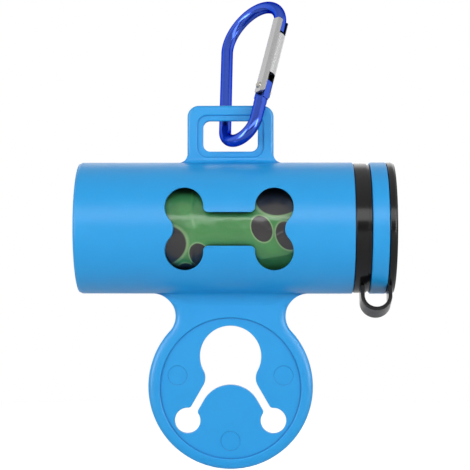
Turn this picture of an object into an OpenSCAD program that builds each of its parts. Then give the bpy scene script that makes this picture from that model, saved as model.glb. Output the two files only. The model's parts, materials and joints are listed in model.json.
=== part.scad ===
// Dispenser for rolls of dog waste bags, with a carabiner to hang it from a lead.
// One moulded housing holds the roll: a tube with a bone-shaped window, a loop above it for the
// carabiner and a disc below it that clips onto a used bag. A tethered cap closes the tube.
// All sizes are in millimetres. The tube lies along X, the window faces -Y and +Z is up.
// The origin is the point inside the carabiner's top bend that the whole thing hangs from.

/* [Tube] */
// Outside diameter of the tube
tube_d = 38; // [35:0.5:46]
// Thickness of the tube's wall
tube_wall = 2.5; // [2:0.1:3.2]
// Length of the housing, from the closed end to the mouth
tube_length = 88.3; // [84:0.5:120]
// Distance from the closed end to the middle of the window, the loop and the disc
middle_at = 43.6; // [38:0.5:50]
// Thickness of the closed end
end_wall = 2; // [1.5:0.1:4]
// Rounding of the closed end's outer edge
end_round = 1; // [0.4:0.1:1.5]
// Rounding of the edges at the groove and at the mouth
lip_round = 0.35; // [0.1:0.05:0.5]
// Width of the collar between the tether groove and the mouth
collar_w = 4.7; // [3:0.1:7]
// Width of the tether groove
groove_w = 4.8; // [3.5:0.1:7]
// Depth of the tether groove
groove_depth = 1.3; // [1.1:0.1:1.5]

/* [Bone window] */
// Distance between the centres of the bone's knobs, along the tube
bone_span = 25.2; // [20:0.2:30]
// Distance between the centres of the two knobs at one end
knob_gap = 12.4; // [10.8:0.2:15]
// Radius of a knob
knob_r = 5.4; // [4.4:0.1:5.6]
// Width of the bone's shaft
shaft_w = 9.4; // [6:0.2:10]
// Radius where the shaft meets a knob
shaft_blend_r = 1.4; // [0.8:0.1:2]
// Radius of the dip between the two knobs at one end
notch_r = 3.8; // [2.5:0.1:4.5]
// How far the bone sits below the tube's middle
window_drop = 0.3; // [0:0.1:1]

/* [Carabiner loop] */
// Width of the loop
loop_w = 25; // [21:0.5:32]
// Height of the loop's top above the tube's middle
loop_top = 35.5; // [34:0.5:40]
// Thickness of the loop and of the bag-holder disc
plate_t = 3; // [2.4:0.1:3.4]
// Radius of the loop's outer corners
loop_corner_r = 3.3; // [1.5:0.1:4]
// Width of the hole in the loop
hole_w = 15.8; // [13:0.2:18]
// Height of the hole in the loop
hole_h = 8.8; // [8:0.2:10]
// Height of the bar above the hole
bar_h = 4.5; // [3:0.1:5]
// Radius of the hole's corners
hole_corner_r = 2; // [0.8:0.1:3]
// Width of the thinner border round the hole
border_w = 1.6; // [1:0.1:2.2]
// Depth of the step between the loop's band and that border, on each face
border_step = 0.45; // [0.2:0.05:0.7]
// Radius where the loop flares into the tube
loop_flare_r = 2.4; // [1.5:0.1:3.5]
// Width taken off the loop's outer edges, so that the carabiner swings freely
loop_chamfer = 0.5; // [0.4:0.05:0.8]

/* [Bag holder disc] */
// Diameter of the disc
disc_d = 47.8; // [44:0.2:54]
// Distance from the tube's middle down to the disc's middle
disc_drop = 46; // [44:0.5:52]
// Width of the neck between the tube and the disc, at its narrowest
neck_w = 32; // [26:0.5:36]
// Diameter of the recessed panel
panel_d = 40.8; // [38:0.2:42]
// How far the panel's middle is below the disc's
panel_drop = 0.4; // [0:0.1:0.8]
// Thickness of the recessed panel
panel_t = 1.8; // [1.2:0.1:2.2]
// Diameter of the large opening that the used bag goes through
throat_d = 17.8; // [14:0.2:20]
// Distance from the tube's middle down to the large opening's middle
throat_drop = 37.2; // [36:0.2:40]
// Diameter of each small eye
eye_d = 7.4; // [6:0.2:8]
// Distance between the two eyes
eye_span = 24.9; // [22:0.2:26]
// Distance from the tube's middle down to the eyes
eye_drop = 55.8; // [54:0.2:58]
// Width of the slots that lead to the eyes
slot_w = 2.3; // [1.5:0.1:3.5]
// Angle of the slots from the vertical
slot_angle = 30; // [26:1:33]
// Radius where a slot meets the large opening
waist_r = 4.4; // [2:0.2:5]
// Radius where a slot meets an eye
eye_blend_r = 1.1; // [0.6:0.1:1.6]
// Radius of the tongue's rounded top between the slots
tongue_r = 8.9; // [7:0.1:10]
// Diameter of the round ejector marks on the panel
mark_d = 5.5; // [3:0.5:6]
// Depth of those marks
mark_depth = 0.15; // [0.1:0.05:0.3]
// Distance of those marks from the disc's middle
mark_ring_r = 15.7; // [15:0.1:16.5]
// Angle of the two upper marks above the horizontal
mark_angle = 12; // [0:1:20]

/* [Cap and tether] */
// Thickness of the cap's flange
flange_t = 2.1; // [1.5:0.1:3]
// Rounding of the flange's outer edge
flange_round = 0.9; // [0.3:0.1:1]
// Rounding of the flange's edge towards the tube
flange_back_round = 0.3; // [0.1:0.1:0.5]
// How far the plug reaches into the tube
plug_length = 6; // [4:0.5:8]
// Wall of the hollow plug
plug_wall = 1.5; // [1:0.1:2]
// Gap all round between the plug and the bore
plug_gap = 0.1; // [0.05:0.01:0.15]
// Gap between the flange and the tube's mouth
seat_gap = 0.1; // [0.05:0.05:0.2]
// How far the ring's face lies below the tube's surface
ring_inset = 0.25; // [0.1:0.05:0.3]
// Gap between the ring and the groove, all round
ring_gap = 0.15; // [0.1:0.05:0.2]
// Width of the narrower step along the ring's mouth side
ring_step_w = 0.8; // [0.5:0.1:1.2]
// Depth of that step
ring_step_depth = 0.35; // [0.2:0.05:0.4]
// Width of the strap
strap_w = 7; // [5:0.5:9]
// Thickness of the strap
strap_t = 1.1; // [0.8:0.1:1.4]
// How far the strap's loop stands out from the tube
strap_out = 7.3; // [6.5:0.1:11]
// Angle of the strap round the tube, from straight down towards the window
strap_angle = 22; // [0:1:60]

/* [Roll of bags] */
// Free space all round between the roll and the bore
roll_slack = 1; // [0.8:0.1:2.2]
// Length of the roll
roll_length = 62; // [55:1:66]
// Outside diameter of the cardboard core
core_d = 14; // [12:0.5:18]
// Wall of the cardboard core
core_wall = 0.8; // [0.5:0.1:1.2]
// How far the core sticks out of the roll at each end
core_overhang = 0.5; // [0.2:0.1:2]
// Thickness of the outermost bag's folded film
film_t = 0.3; // [0.2:0.05:0.5]
// Gap between the roll and the bottom of the bore
roll_gap = 0.3; // [0.2:0.05:0.5]
// Angle that the outermost bag's loose end covers
film_wrap = 250; // [180:5:300]

/* [Carabiner] */
// Diameter of the rod
rod_d = 3.6; // [3.2:0.1:3.8]
// Radius of the bottom bend, to the middle of the rod
bottom_bend_r = 6.1; // [5.8:0.1:6.5]
// Radius of the top bend, to the middle of the rod
top_bend_r = 10.6; // [9.8:0.1:11.5]
// Distance between the middles of the two bends
bend_span = 32; // [30:0.5:38]
// Diameter of the gate
gate_d = 4.7; // [4.4:0.1:5]
// Thickness of the gate across its flat sides
gate_flat = 4.3; // [4.1:0.1:4.6]
// Length of the gate beyond its rivet
gate_reach = 24.1; // [22.5:0.1:24.5]
// Distance along the gate side from the bottom bend to the rivet
rivet_at = 10.1; // [9.5:0.1:11]
// Thickness of the rod where it is flattened
blade_t = 2.1; // [1.8:0.1:2.2]
// Gap on each side of a flattened end in its slot
blade_gap = 0.13; // [0.08:0.01:0.2]
// Diameter of the rivet
rivet_d = 1.3; // [1:0.1:1.6]
// Gap all round the rivet in the gate
rivet_gap = 0.04; // [0.02:0.01:0.06]
// Diameter of the rivet's heads
rivet_head_d = 2; // [1.8:0.1:2.4]
// Diameter of the flat on those heads
rivet_flat_d = 1.4; // [1:0.1:1.7]
// Height of the rivet's heads
rivet_head_h = 0.5; // [0.3:0.1:0.8]
// Outside diameter of the gate's spring
spring_d = 1.9; // [1.6:0.1:2]
// Diameter of the spring's wire
spring_wire_d = 0.35; // [0.3:0.05:0.45]
// Number of turns of the spring
spring_turns = 9; // [5:1:12]
// How far the carabiner leans back in the loop
carabiner_lean = 28.8; // [27:0.2:30]
// How far the carabiner tips to the side
carabiner_tip = 16.2; // [15:0.2:17]
// How far the carabiner turns about the vertical
carabiner_turn = 38.6; // [37:0.2:40]

/* [Hidden] */
$fn = 96;
spring_fn = 10;
cut = 1; // how far a cutter runs past what it cuts
bite = 0.01; // how far an arc that joins two edges bites into them, so that they cross cleanly

tube_r = tube_d / 2;
bore_r = tube_r - tube_wall;
mouth_x = tube_length - middle_at;
groove_x = mouth_x - collar_w - groove_w;
groove_r = tube_r - groove_depth;

// where the middle of the carabiner's bottom bend hangs, beside, in front of and below the bar's edges
bend_side = 3;
bend_behind_face = 0.07;
bend_below_bar = 0.45;
bend_at = [bend_side, bend_behind_face - plate_t / 2, loop_top - bar_h - bend_below_bar];
side_tilt = asin((top_bend_r - bottom_bend_r) / bend_span);
side_length = bend_span * cos(side_tilt);
// the straight rods run this far into the bends, and are this much thinner
rod_overlap = 0.2;
rod_undercut = 0.02;
// the hang point, before everything is moved to put it at the origin
hang_in_carabiner = [0, bend_span + top_bend_r - rod_d / 2, 0];

// the gate and what it closes on: distances are along the gate's line
slot_in_gate = blade_t + 2 * blade_gap;
gate_tip_at = rivet_at + gate_reach;
gate_tip_round = 1.7;
nose_gap = 0.35;
nose_length = 4.2;
nose_end_gap = 1.1;
nose_shoulder_at = gate_tip_at + nose_gap;
nose_end_at = gate_tip_at - nose_length;
nose_slot_at = nose_end_at - nose_end_gap;
nose_floor = -0.9;
nose_floor_gap = 0.15;
tang_w = 3.8;
tang_round_r = 2.9;
tang_length = 3.6;
tang_root_inset = 0.25;
tang_shoulder_at = rivet_at - tang_length;
fork_gap = 0.15;
fork_end_at = rivet_at + tang_round_r + fork_gap;
plunger_d = 2.1;
plunger_gap = 0.12;
plunger_window = 1.8;
plunger_hidden = 1.4;
spring_seat_gap = 0.1;
plunger_foot_at = rivet_at + tang_round_r + spring_seat_gap;
plunger_slot_at = fork_end_at + plunger_window;
plunger_end_at = plunger_slot_at + plunger_hidden;
spring_bore_d = plunger_d + 2 * plunger_gap;
spring_bore_reach = 15.2;
spring_bore_end_at = rivet_at + spring_bore_reach;

ring_r = tube_r - ring_inset;
ring_w = groove_w - 2 * ring_gap;
ring_start_x = groove_x + ring_gap;
ring_mid_x = groove_x + groove_w / 2;
ring_step_round = 0.15;
flange_x = mouth_x + seat_gap;
strap_seat_gap = 0.05;
strap_far_x = flange_x + strap_t / 2 + strap_seat_gap;
strap_bend_r = (strap_far_x - ring_mid_x) / 2;
strap_reach = tube_r + strap_out;

roll_r = bore_r - film_t - roll_slack;
roll_mid_z = roll_gap - roll_slack;
roll_mid_x = (end_wall - middle_at + mouth_x - plug_length) / 2;

// Rotates what is drawn in the XY plane so that it stands in the XZ plane
module upright() rotate([90, 0, 0]) children();
// Turns what is drawn round the Z axis so that it lies round the X axis
module along_x() rotate([0, 90, 0]) children();
// Puts the hang point at the origin
module hung() translate(-hang_point) children();
// The carabiner is drawn flat, with its bottom bend's middle at the origin and its length along Y
module in_loop()
    translate(bend_at) rotate([-carabiner_lean, -carabiner_tip, -carabiner_turn]) upright() children();
// The gate's line: starts where the bottom bend ends, runs along Y, with +X outwards
module on_gate_line()
    rotate(-side_tilt) translate([bottom_bend_r, 0, 0]) children();

// Where a point of the flat carabiner lies on the housing
function turn_x(p, a) = [p.x, p.y * cos(a) - p.z * sin(a), p.y * sin(a) + p.z * cos(a)];
function turn_y(p, a) = [p.x * cos(a) + p.z * sin(a), p.y, -p.x * sin(a) + p.z * cos(a)];
function turn_z(p, a) = [p.x * cos(a) - p.y * sin(a), p.x * sin(a) + p.y * cos(a), p.z];
function from_flat(p) = bend_at
    + turn_z(turn_y(turn_x(turn_x(p, 90), -carabiner_lean), -carabiner_tip), -carabiner_turn);
hang_point = from_flat(hang_in_carabiner);

// A round bar along X from x = 0, with its two outer edges rounded
module barrel(r, length, start_round, end_round) {
    along_x() rotate_extrude() {
        translate([0, start_round]) square([r, length - start_round - end_round]);
        square([r - start_round, length]);
        square([r - end_round, length]);
        translate([r - start_round, start_round]) circle(start_round);
        translate([r - end_round, length - end_round]) circle(end_round);
    }
}

// Fills the corner between a circle of radius r, centred on the origin, and a band of half width h
// along +Y whose middle line passes `off` to the right of it, with an arc of radius q
module band_blend(r, h, q, off = 0) {
    rise = sqrt(pow(r + q, 2) - pow(off + h + q, 2));
    centre = [off + h + q, rise];
    difference() {
        polygon([[0, 0], centre, [off, rise], [off, 0]]);
        translate(centre) circle(q + bite);
    }
}

module bone_outline() {
    knob_x = bone_span / 2;
    knob_y = knob_gap / 2;
    notch_x = knob_x + sqrt(pow(knob_r + notch_r, 2) - pow(knob_y, 2));
    square([bone_span, shaft_w], center = true);
    for (sx = [-1, 1]) scale([sx, 1]) {
        for (sy = [-1, 1]) scale([1, sy]) translate([knob_x, knob_y]) {
            circle(knob_r);
            shaft_corner(knob_y - shaft_w / 2);
        }
        // the end dips in between the two knobs
        difference() {
            polygon([[knob_x, knob_y], [notch_x, 0], [knob_x, -knob_y]]);
            translate([notch_x, 0]) circle(notch_r + bite);
        }
    }
}

// The small round corner between a knob, centred on the origin, and the shaft's edge below it
module shaft_corner(edge_below) {
    q = shaft_blend_r;
    y = q - edge_below;
    x = -sqrt(pow(knob_r + q, 2) - pow(y, 2));
    difference() {
        polygon([[0, 0], [x, y], [x, -edge_below], [0, -edge_below]]);
        translate([x, y]) circle(q + bite);
    }
}

module rounded_rect(w, h, r) {
    translate([-w / 2 + r, 0]) square([w - 2 * r, h]);
    translate([-w / 2, r]) square([w, h - 2 * r]);
    for (x = [-1, 1], y = [r, h - r]) translate([x * (w / 2 - r), y]) circle(r);
}

// The height at which the loop's and the disc's faces meet the tube
plate_meets_tube = sqrt(pow(tube_r, 2) - pow(plate_t / 2, 2));
hole_top = loop_top - bar_h;
hole_bottom = hole_top - hole_h;

module loop_outline() {
    translate([0, tube_r - loop_corner_r]) difference() {
        rounded_rect(loop_w, loop_top - tube_r + loop_corner_r, loop_corner_r);
        translate([-loop_w, -cut]) square([2 * loop_w, cut]);
    }
    translate([-loop_w / 2, 0]) square([loop_w, tube_r + loop_corner_r]);
    for (sx = [-1, 1]) scale([sx, 1]) difference() {
        translate([loop_w / 2 - cut, plate_meets_tube - cut]) square(loop_flare_r + cut);
        translate([loop_w / 2 + loop_flare_r, plate_meets_tube + loop_flare_r]) circle(loop_flare_r + bite);
    }
}

module loop_hole(grow = 0)
    translate([0, hole_bottom - grow])
        rounded_rect(hole_w + 2 * grow, hole_h + 2 * grow, hole_corner_r + grow / 2);

disc_r = disc_d / 2;
// The neck's sides are arcs that touch the tube, the neck's narrowest width and the disc
neck_drop = disc_drop - plate_meets_tube;
neck_b = neck_w - 2 * neck_drop - disc_d;
neck_c = pow(neck_w / 2, 2) + pow(neck_drop, 2) - pow(disc_r, 2);
neck_r = (-neck_b - sqrt(pow(neck_b, 2) - 4 * neck_c)) / 2;

arc_x = neck_w / 2 + neck_r;
arc_y = -plate_meets_tube - neck_r;
// The one moulding of the tube, the loop and the disc is drawn in two parts, which meet just below
// the tube in a flat face across the neck: the housing above it and the bag holder below it
neck_split = plate_meets_tube + 0.6;
// the neck's lower edges run to just above the disc's middle, so that they cross its rim beside the
// place where the arcs touch it
neck_foot_y = 0.8 - disc_drop;

// A polygon less the two arcs at the neck's sides
module neck_outline(points) difference() {
    polygon(points);
    for (sx = [-1, 1]) translate([sx * arc_x, arc_y]) circle(neck_r + bite);
}

eye_r = eye_d / 2;
throat_r = throat_d / 2;
// half a slot's width, measured square to the left slot and outwards
slot_out = slot_w / 2 * [-cos(slot_angle), sin(slot_angle)];
// the slots' middle lines meet here
slots_meet_y = -eye_drop + eye_span / 2 / tan(slot_angle);
// the tongue's arc touches the inner edges of both slots
tongue_mid_y = slots_meet_y - (tongue_r + slot_w / 2) / sin(slot_angle);

module keyhole_outline() {
    left_eye = [-eye_span / 2, -eye_drop];
    slot_top = [(slots_meet_y + throat_drop) * tan(slot_angle) + slot_w / 2 / cos(slot_angle), throat_drop];
    difference() {
        union() {
            translate([0, -throat_drop]) circle(throat_r);
            mirrored_polygon([-slot_top, left_eye + slot_out, left_eye]);
        }
        // the tongue between the two slots
        translate([0, tongue_mid_y]) circle(tongue_r + bite);
        mirrored_polygon([[0, tongue_mid_y] + tongue_r * [-cos(slot_angle), sin(slot_angle)],
                          left_eye - slot_out]);
    }
    for (sx = [-1, 1]) scale([sx, 1]) {
        translate(left_eye) rotate(-slot_angle) {
            circle(eye_r);
            for (side = [-1, 1]) scale([side, 1]) band_blend(eye_r, slot_w / 2, eye_blend_r);
        }
        // the round corner between the large opening and the slot's outer edge
        translate([0, -throat_drop]) rotate(180 - slot_angle)
            band_blend(throat_r, slot_w / 2, waist_r, (throat_drop + slots_meet_y) * sin(slot_angle));
    }
}

// A polygon that is the same on both sides of the Y axis, from the points of its left side
module mirrored_polygon(left) {
    count = len(left);
    polygon(concat(left, [for (i = [1:count]) let (p = left[count - i]) [-p.x, p.y]]));
}

module plate_solid(t) upright() linear_extrude(t, center = true) children();

module housing() color("#2f9bea") hung() difference() {
    union() {
        translate([-middle_at, 0, 0]) {
            barrel(tube_r, groove_x + middle_at, end_round, lip_round);
            barrel(groove_r, tube_length - cut, end_round, end_round);
        }
        translate([mouth_x - collar_w, 0, 0]) barrel(tube_r, collar_w, lip_round, lip_round);
        plate_solid(plate_t) {
            loop_outline();
            neck_outline([[-arc_x, 0], [arc_x, 0], [arc_x, -neck_split], [-arc_x, -neck_split]]);
        }
    }
    // the bore, the bone window and the loop's hole
    translate([end_wall - middle_at, 0, 0]) along_x() cylinder(r = bore_r, h = tube_length);
    translate([0, -cut, -window_drop]) upright() linear_extrude(tube_r) bone_outline();
    plate_solid(plate_t + cut) loop_hole();
    // the thinner border round the hole and the loop's broken outer edges, on both faces
    for (side = [-1, 1]) {
        translate([0, side * (plate_t - border_step), 0]) plate_solid(plate_t) loop_hole(border_w);
        upright() translate([0, 0, side * plate_t / 2]) loop_edge();
    }
}

// What is taken off the loop's outer edge on one face
module loop_edge() {
    corner = [loop_w / 2 - loop_corner_r, loop_top - loop_corner_r];
    foot = plate_meets_tube + loop_flare_r;
    translate([-corner.x, loop_top]) rotate([90, 0, 90]) linear_extrude(2 * corner.x) diamond();
    for (sx = [-1, 1]) scale([sx, 1, 1]) {
        translate([loop_w / 2, foot]) rotate([-90, 0, 0]) linear_extrude(corner.y - foot) diamond();
        translate(corner) rotate_extrude(angle = 90) translate([loop_corner_r, 0]) diamond();
    }
}

module diamond()
    polygon(loop_chamfer * [[-1, 0], [0, -1], [1, 0], [0, 1]]);

module bag_holder() color("#2f9bea") hung() difference() {
    union() {
        plate_solid(plate_t) translate([0, -disc_drop]) circle(disc_r);
        plate_solid(plate_t) neck_outline([[-arc_x, -neck_split], [arc_x, -neck_split], [arc_x, arc_y],
                                           [0, neck_foot_y], [-arc_x, arc_y]]);
    }
    plate_solid(plate_t + cut) {
        keyhole_outline();
        // nothing of it reaches above the split
        translate([-tube_length, -neck_split]) square([2 * tube_length, tube_length]);
    }
    // the recessed panel, on both faces, and the ejector marks on its front
    for (side = [-1, 1])
        translate([0, side * (panel_t + plate_t) / 2, -disc_drop - panel_drop])
            plate_solid(plate_t) circle(d = panel_d);
    for (a = [mark_angle, 180 - mark_angle, 270])
        translate([mark_ring_r * cos(a), -panel_t / 2, -disc_drop + mark_ring_r * sin(a)])
            plate_solid(2 * mark_depth) circle(d = mark_d);
}

module end_cap() color("#26282b") hung() translate([flange_x, 0, 0]) {
    difference() {
        union() {
            barrel(tube_r, flange_t, flange_back_round, flange_round);
            translate([-seat_gap - plug_length, 0, 0])
                barrel(bore_r - plug_gap, plug_length + seat_gap + flange_t / 2, lip_round, lip_round);
        }
        translate([-seat_gap - plug_length - cut, 0, 0]) along_x()
            cylinder(r = bore_r - plug_gap - plug_wall, h = plug_length + seat_gap + cut);
    }
}

module tether_ring() color("#232527") hung() difference() {
    union() {
        translate([ring_start_x, 0, 0])
            barrel(ring_r, ring_w - ring_step_w, lip_round, ring_step_round);
        translate([ring_start_x + ring_step_w, 0, 0])
            barrel(ring_r - ring_step_depth, ring_w - ring_step_w, ring_step_round, ring_step_round);
    }
    translate([ring_start_x - cut, 0, 0]) along_x()
        cylinder(r = groove_r + ring_gap, h = ring_w + 2 * cut);
}

// The strap, drawn in the plane of the tube's length (X) and its radius (Y, outwards)
module strap_outline() {
    bend_mid = [ring_mid_x + strap_bend_r, strap_reach - strap_t / 2 - strap_bend_r];
    translate(bend_mid) intersection() {
        difference() {
            circle(strap_bend_r + strap_t / 2);
            circle(strap_bend_r - strap_t / 2);
        }
        translate([-strap_reach, 0]) square([2 * strap_reach, strap_reach]);
    }
    for (x = [ring_mid_x, strap_far_x])
        translate([x - strap_t / 2, groove_r]) square([strap_t, bend_mid.y - groove_r]);
}

module tether_strap() color("#26282b") hung() difference() {
    rotate([-90 - strap_angle, 0, 0]) linear_extrude(strap_w, center = true) strap_outline();
    // it meets the ring face to face and stays just clear of the cap's flange
    along_x() cylinder(r = ring_r, h = ring_mid_x + ring_w / 2);
    along_x() cylinder(r = tube_r + strap_seat_gap, h = tube_length);
}

module along_roll(r, length) translate([roll_mid_x - length / 2, 0, roll_mid_z]) along_x()
    cylinder(r = r, h = length);

module roll_core() color("#b99565") hung() difference() {
    along_roll(core_d / 2, roll_length + 2 * core_overhang);
    along_roll(core_d / 2 - core_wall, roll_length + 2 * core_overhang + cut);
}

module bag_roll() color("#4f9d57") hung() difference() {
    along_roll(roll_r, roll_length);
    along_roll(core_d / 2, roll_length + cut);
}

module lead_bag() color("#56a45e") hung()
    translate([roll_mid_x - roll_length / 2, 0, roll_mid_z]) along_x() rotate(180 - film_wrap / 2)
        rotate_extrude(angle = film_wrap) translate([roll_r, 0]) square([film_t, roll_length]);

// A straight rod along Y between two distances
module rod(from, to) translate([0, from, 0]) rotate([-90, 0, 0])
    cylinder(d = rod_d - rod_undercut, h = to - from);
module rod_bend(r, from, sweep)
    rotate(from) rotate_extrude(angle = sweep) translate([r, 0]) circle(d = rod_d);

// A block on the gate's line, between two distances along it and two outward positions
module gate_block(from, to, inner, outer, t)
    translate([inner, from, -t / 2]) cube([outer - inner, to - from, t]);

module carabiner_body() color("#2b49c4") hung() in_loop() difference() {
    union() {
        rod_bend(bottom_bend_r, 180 + side_tilt, 180 - 2 * side_tilt);
        translate([0, bend_span, 0]) rod_bend(top_bend_r, -side_tilt, 180 + 2 * side_tilt);
        rotate(side_tilt) translate([-bottom_bend_r, 0, 0]) rod(-rod_overlap, side_length + rod_overlap);
        on_gate_line() {
            rod(-rod_overlap, tang_shoulder_at);
            rod(nose_end_at, side_length + rod_overlap);
            linear_extrude(blade_t, center = true) tang_outline();
        }
    }
    // the nose is flattened to slide into the gate's slot
    on_gate_line() {
        for (side = [-1, 1]) translate([0, 0, side * (blade_t / 2 + rod_d / 2)])
            gate_block(nose_end_at - cut, nose_shoulder_at, -rod_d, rod_d, rod_d);
        gate_block(nose_end_at - cut, nose_shoulder_at, -rod_d, nose_floor + nose_floor_gap, rod_d);
        translate([0, rivet_at, 0]) cylinder(d = rivet_d, h = rod_d, center = true);
    }
}

module tang_outline() {
    translate([-tang_w / 2 + tang_root_inset, tang_shoulder_at - rod_d / 2])
        square([tang_w - 2 * tang_root_inset, rod_d]);
    translate([-tang_w / 2, tang_shoulder_at]) square([tang_w, rivet_at - tang_shoulder_at]);
    intersection() {
        translate([0, rivet_at]) circle(tang_round_r);
        translate([-tang_w / 2, rivet_at]) square([tang_w, tang_round_r]);
    }
}

module gate_outline() {
    half = gate_d / 2;
    translate([0, rivet_at]) circle(half);
    translate([-half, rivet_at]) square([gate_d, gate_reach - gate_tip_round]);
    translate([-half + gate_tip_round, rivet_at]) square([gate_d - 2 * gate_tip_round, gate_reach]);
    for (side = [-1, 1]) translate([side * (half - gate_tip_round), gate_tip_at - gate_tip_round])
        circle(gate_tip_round);
}

module carabiner_gate() color("#c9c9c6") hung() in_loop() on_gate_line() difference() {
    intersection() {
        translate([0, rivet_at - gate_d, 0]) rotate([-90, 0, 0])
            cylinder(d = gate_d, h = gate_reach + 2 * gate_d);
        linear_extrude(gate_flat, center = true) gate_outline();
    }
    // the slot for the nose, the fork round the tang and the opening above it
    gate_block(nose_slot_at, gate_tip_at + cut, nose_floor, gate_d, slot_in_gate);
    gate_block(rivet_at - gate_d, fork_end_at, -gate_d, gate_d, slot_in_gate);
    gate_block(fork_end_at - cut, plunger_slot_at, 0, gate_d, slot_in_gate);
    translate([0, fork_end_at - cut, 0]) rotate([-90, 0, 0])
        cylinder(d = spring_bore_d, h = spring_bore_end_at - fork_end_at + cut);
    translate([0, rivet_at, 0]) cylinder(d = rivet_d + 2 * rivet_gap, h = gate_d, center = true);
}

module gate_rivet() color("#b9b7ae") hung() in_loop() on_gate_line() translate([0, rivet_at, 0]) {
    cylinder(d = rivet_d, h = gate_flat, center = true);
    for (side = [0, 180]) rotate([side, 0, 0]) translate([0, 0, gate_flat / 2])
        cylinder(d1 = rivet_head_d, d2 = rivet_flat_d, h = rivet_head_h);
}

module spring_plunger() color("#202124") hung() in_loop() on_gate_line()
    translate([0, plunger_foot_at, 0]) rotate([-90, 0, 0])
        cylinder(d = plunger_d, h = plunger_end_at - plunger_foot_at);

// The spring: rings of wire along a helix
spring_start = plunger_end_at + spring_wire_d / 2;
spring_end = spring_bore_end_at - spring_wire_d / 2 - spring_seat_gap;
spring_steps = 14;
spring_r = (spring_d - spring_wire_d) / 2;
function coil_at(i) = let (a = 360 * i / spring_steps)
    [spring_r * cos(a), spring_start + (spring_end - spring_start) * i / (spring_steps * spring_turns),
     spring_r * sin(a)];
module gate_spring() color("#9a9c9e") hung() in_loop() on_gate_line() {
    rows = spring_steps * spring_turns;
    wire_r = spring_wire_d / 2;
    points = [for (i = [0:rows]) let (a = 360 * i / spring_steps, p = coil_at(i))
        for (j = [0:spring_fn - 1]) let (b = 360 * j / spring_fn)
            [p.x + wire_r * cos(b) * cos(a), p.y + wire_r * sin(b), p.z + wire_r * cos(b) * sin(a)]];
    sides = [for (i = [0:rows - 1], j = [0:spring_fn - 1]) let (k = (j + 1) % spring_fn)
        [i * spring_fn + j, (i + 1) * spring_fn + j, (i + 1) * spring_fn + k, i * spring_fn + k]];
    first_end = [for (j = [0:spring_fn - 1]) j];
    last_end = [for (j = [0:spring_fn - 1]) rows * spring_fn + spring_fn - 1 - j];
    polyhedron(points, concat(sides, [first_end, last_end]), convexity = 8);
}

housing();
bag_holder();
end_cap();
tether_strap();
tether_ring();
roll_core();
bag_roll();
lead_bag();
carabiner_body();
carabiner_gate();
gate_rivet();
gate_spring();
spring_plunger();
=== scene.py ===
# %% [markdown]
# # A waste bag dispenser, dressed for a product picture
# The CAD model already holds every part of this dispenser at its real size: a moulded housing with
# a loop and a disc, a tethered cap, a roll of bags and a small carabiner. This notebook keeps those
# sizes and gives the parts what CAD leaves out: rounded mould edges, thin creased film and finishes
# that catch the light as the real ones do. Everything is in metres and in the CAD model's frame.

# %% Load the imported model
import json
import math

import bmesh
import bpy
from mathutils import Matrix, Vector, noise

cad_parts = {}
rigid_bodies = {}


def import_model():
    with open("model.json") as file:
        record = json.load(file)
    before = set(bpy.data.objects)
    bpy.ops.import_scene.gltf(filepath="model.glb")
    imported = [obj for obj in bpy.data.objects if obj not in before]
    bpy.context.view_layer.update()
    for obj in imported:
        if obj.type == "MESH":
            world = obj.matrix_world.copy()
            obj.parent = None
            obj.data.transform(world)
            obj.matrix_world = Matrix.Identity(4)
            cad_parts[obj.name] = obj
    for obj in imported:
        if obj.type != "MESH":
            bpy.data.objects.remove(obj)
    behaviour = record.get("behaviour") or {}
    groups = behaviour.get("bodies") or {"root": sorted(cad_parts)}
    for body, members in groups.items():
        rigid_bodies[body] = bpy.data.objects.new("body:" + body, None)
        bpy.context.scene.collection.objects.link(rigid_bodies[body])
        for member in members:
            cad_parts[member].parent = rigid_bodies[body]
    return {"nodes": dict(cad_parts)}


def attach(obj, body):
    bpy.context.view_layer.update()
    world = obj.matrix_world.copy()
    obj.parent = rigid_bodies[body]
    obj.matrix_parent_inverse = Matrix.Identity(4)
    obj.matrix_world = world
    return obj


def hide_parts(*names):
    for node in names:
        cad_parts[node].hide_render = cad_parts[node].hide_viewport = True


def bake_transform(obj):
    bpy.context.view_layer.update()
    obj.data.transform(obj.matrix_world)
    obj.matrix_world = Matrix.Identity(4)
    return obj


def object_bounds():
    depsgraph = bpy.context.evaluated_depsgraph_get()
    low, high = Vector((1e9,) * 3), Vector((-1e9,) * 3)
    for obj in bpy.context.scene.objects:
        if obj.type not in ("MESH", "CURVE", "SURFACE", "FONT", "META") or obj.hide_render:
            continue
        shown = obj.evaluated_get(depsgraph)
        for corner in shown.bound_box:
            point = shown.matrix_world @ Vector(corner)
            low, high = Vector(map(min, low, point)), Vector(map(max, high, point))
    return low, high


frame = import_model()
bpy.ops.object.select_all(action="DESELECT")
cad_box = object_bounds()
print("CAD nodes:", len(frame["nodes"]), "box:", [tuple(round(c, 4) for c in p) for p in cad_box])

# %% [markdown]
# ## One origin for the drawing
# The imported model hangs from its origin, a point inside the carabiner. The housing is easier to draw
# round the middle of its tube, so every number below is in millimetres from that point, and one
# function carries it into the model's frame.

# %% Millimetres from the tube's middle
MM = 0.001
TUBE_MIDDLE = Vector((-7.467, -20.154, -64.884)) * MM


def at(x, y, z):
    """The place in the model's frame of a point given in millimetres from the tube's middle."""
    return TUBE_MIDDLE + Vector((x, y, z)) * MM


print("tube's middle:", tuple(round(c, 5) for c in TUBE_MIDDLE))

# %% [markdown]
# ## The camera
# The photograph is taken straight from the front with a long lens. The way the tube's two ends curve
# gives the distance, a little over 400 mm, and the size of the tube in the frame gives the lens.

# %% Camera
CAMERA_PLACE = at(10.0, -423.0, -2.0)
CAMERA_YAW = math.radians(1.18)
LENS_MM, SENSOR_MM = 111.6, 36

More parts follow.
